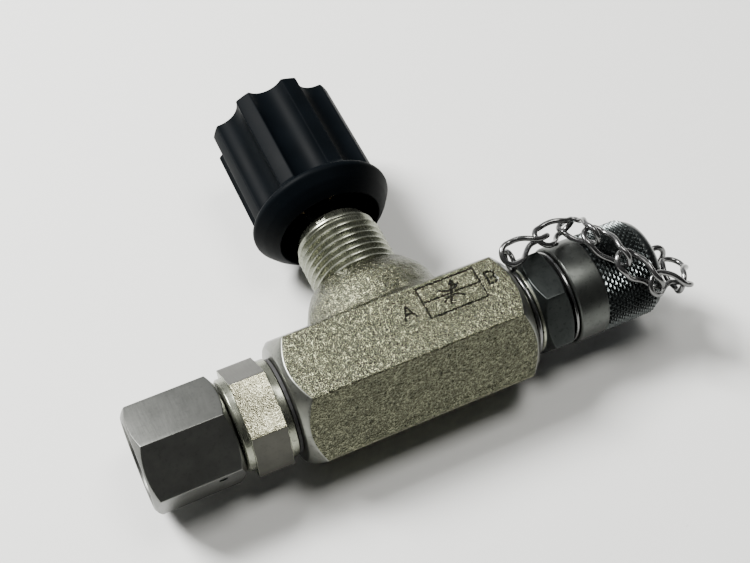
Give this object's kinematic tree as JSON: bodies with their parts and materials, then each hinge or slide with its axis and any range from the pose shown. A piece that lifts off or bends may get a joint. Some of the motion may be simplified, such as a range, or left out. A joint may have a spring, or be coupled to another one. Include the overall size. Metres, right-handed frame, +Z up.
{
  "type": "flow control valve",
  "caption": "Inline needle-type flow control valve with a fluted knob, a swivel nut at one port and a test coupling with a chained cap at the other.",
  "frame": {"origin": "bottom centre of the whole object as it lies on a table, resting on a lower edge of the body and on the knob rim", "axes": "+X runs from the swivel nut to the chained cap, +Y from the body towards the knob, +Z up"},
  "size_m": [0.1152, 0.0792, 0.0305],
  "materials": {
    "cast_zinc_steel": "zinc plated forging, coarse blasted skin with machined ends",
    "bright_steel": "zinc plated turned steel, satin",
    "satin_steel": "satin machined steel",
    "dark_steel": "dark grey plated steel",
    "wire_steel": "drawn steel wire, polished",
    "brass": "turned brass",
    "rubber": "black nitrile rubber",
    "ptfe": "off-white back-up ring",
    "knob_plastic": "blue-black moulded plastic, satin"
  },
  "bodies": {
    "root": {"valve_body": "cast_zinc_steel", "stud_fitting": "bright_steel", "stud_seal": "rubber", "cone_o_ring": "rubber", "test_coupling": "dark_steel", "coupling_seal": "rubber", "spring_seat": "satin_steel", "check_spring": "wire_steel", "probe_seal": "rubber", "dust_ring": "wire_steel", "spindle_bonnet": "satin_steel", "bonnet_o_ring": "rubber", "chain_ring": "wire_steel"},
    "swivel_nut": {"swivel_nut": "satin_steel", "retaining_wire": "wire_steel"},
    "check_poppet": {"check_poppet": "brass"},
    "spindle_seals": {"spindle_o_ring": "rubber", "backup_ring": "ptfe"},
    "knob": {"knob": "knob_plastic", "knob_insert": "brass", "set_screw": "dark_steel", "needle_spindle": "satin_steel"},
    "cap_eyelet": {"cap_eyelet": "wire_steel"},
    "cap": {"cap_shell": "dark_steel", "cap_seal": "rubber"},
    "chain_link_1": {"chain_link_1": "wire_steel"},
    "chain_link_2": {"chain_link_2": "wire_steel"},
    "chain_link_3": {"chain_link_3": "wire_steel"},
    "chain_link_4": {"chain_link_4": "wire_steel"},
    "chain_link_5": {"chain_link_5": "wire_steel"},
    "chain_link_6": {"chain_link_6": "wire_steel"},
    "chain_link_7": {"chain_link_7": "wire_steel"}
  },
  "joints": [
    {"name": "nut_spin", "type": "hinge", "parent": "root", "child": "swivel_nut", "pos_m": [-0.04886, -0.02541, 0.01275], "axis": [1, 0, 0], "continuous": true},
    {"name": "poppet_push", "type": "slide", "parent": "root", "child": "check_poppet", "axis": [-1, 0, 0], "range_m": [0, 0.002], "stiffness_N_per_m": 300, "springref_m": -0.002},
    {"name": "spindle_travel", "type": "slide", "parent": "root", "child": "spindle_seals", "axis": [0, 0.998, 0.0639], "range_m": [-0.004, 0.001]},
    {"name": "knob_turn", "type": "hinge", "parent": "spindle_seals", "child": "knob", "pos_m": [-0.00386, 0.02449, 0.01595], "axis": [0, 0.998, 0.0639], "range_deg": [-1440, 360]},
    {"name": "cap_travel", "type": "slide", "parent": "root", "child": "cap_eyelet", "axis": [1, 0, 0], "range_m": [0, 0.008]},
    {"name": "cap_spin", "type": "hinge", "parent": "cap_eyelet", "child": "cap", "pos_m": [0.04114, -0.02541, 0.01275], "axis": [1, 0, 0], "range_deg": [0, 1440]},
    {"name": "chain_link_1_shift", "type": "slide", "parent": "root", "child": "chain_link_1", "axis": [1, 0, 0], "range_m": [0, 0.001]},
    {"name": "chain_link_2_shift", "type": "slide", "parent": "root", "child": "chain_link_2", "axis": [0.9957, -0.0001, 0.0923], "range_m": [0, 0.00174]},
    {"name": "chain_link_3_shift", "type": "slide", "parent": "root", "child": "chain_link_3", "axis": [0.9623, 0.1022, 0.252], "range_m": [0, 0.00339]},
    {"name": "chain_link_4_shift", "type": "slide", "parent": "root", "child": "chain_link_4", "axis": [0.9874, -0.0482, 0.151], "range_m": [0, 0.00416]},
    {"name": "chain_link_5_shift", "type": "slide", "parent": "root", "child": "chain_link_5", "axis": [0.9881, -0.1069, 0.1109], "range_m": [0, 0.00502]},
    {"name": "chain_link_6_shift", "type": "slide", "parent": "root", "child": "chain_link_6", "axis": [0.9892, -0.1384, 0.0482], "range_m": [0, 0.00615]},
    {"name": "chain_link_7_shift", "type": "slide", "parent": "root", "child": "chain_link_7", "axis": [0.9995, -0.0309, -0.0063], "range_m": [0, 0.00703]}
  ],
  "couplings": [
    {"joint": "knob_turn", "follows": "spindle_travel", "rad_per_m": 6282.6},
    {"joint": "cap_travel", "follows": "cap_spin", "m_per_rad": 0.00031828},
    {"joint": "chain_link_1_shift", "follows": "cap_spin", "m_per_rad": 0.000039785},
    {"joint": "chain_link_2_shift", "follows": "cap_spin", "m_per_rad": 0.000069225},
    {"joint": "chain_link_3_shift", "follows": "cap_spin", "m_per_rad": 0.00013487},
    {"joint": "chain_link_4_shift", "follows": "cap_spin", "m_per_rad": 0.00016551},
    {"joint": "chain_link_5_shift", "follows": "cap_spin", "m_per_rad": 0.00019972},
    {"joint": "chain_link_6_shift", "follows": "cap_spin", "m_per_rad": 0.00024468},
    {"joint": "chain_link_7_shift", "follows": "cap_spin", "m_per_rad": 0.00027969}
  ]
}
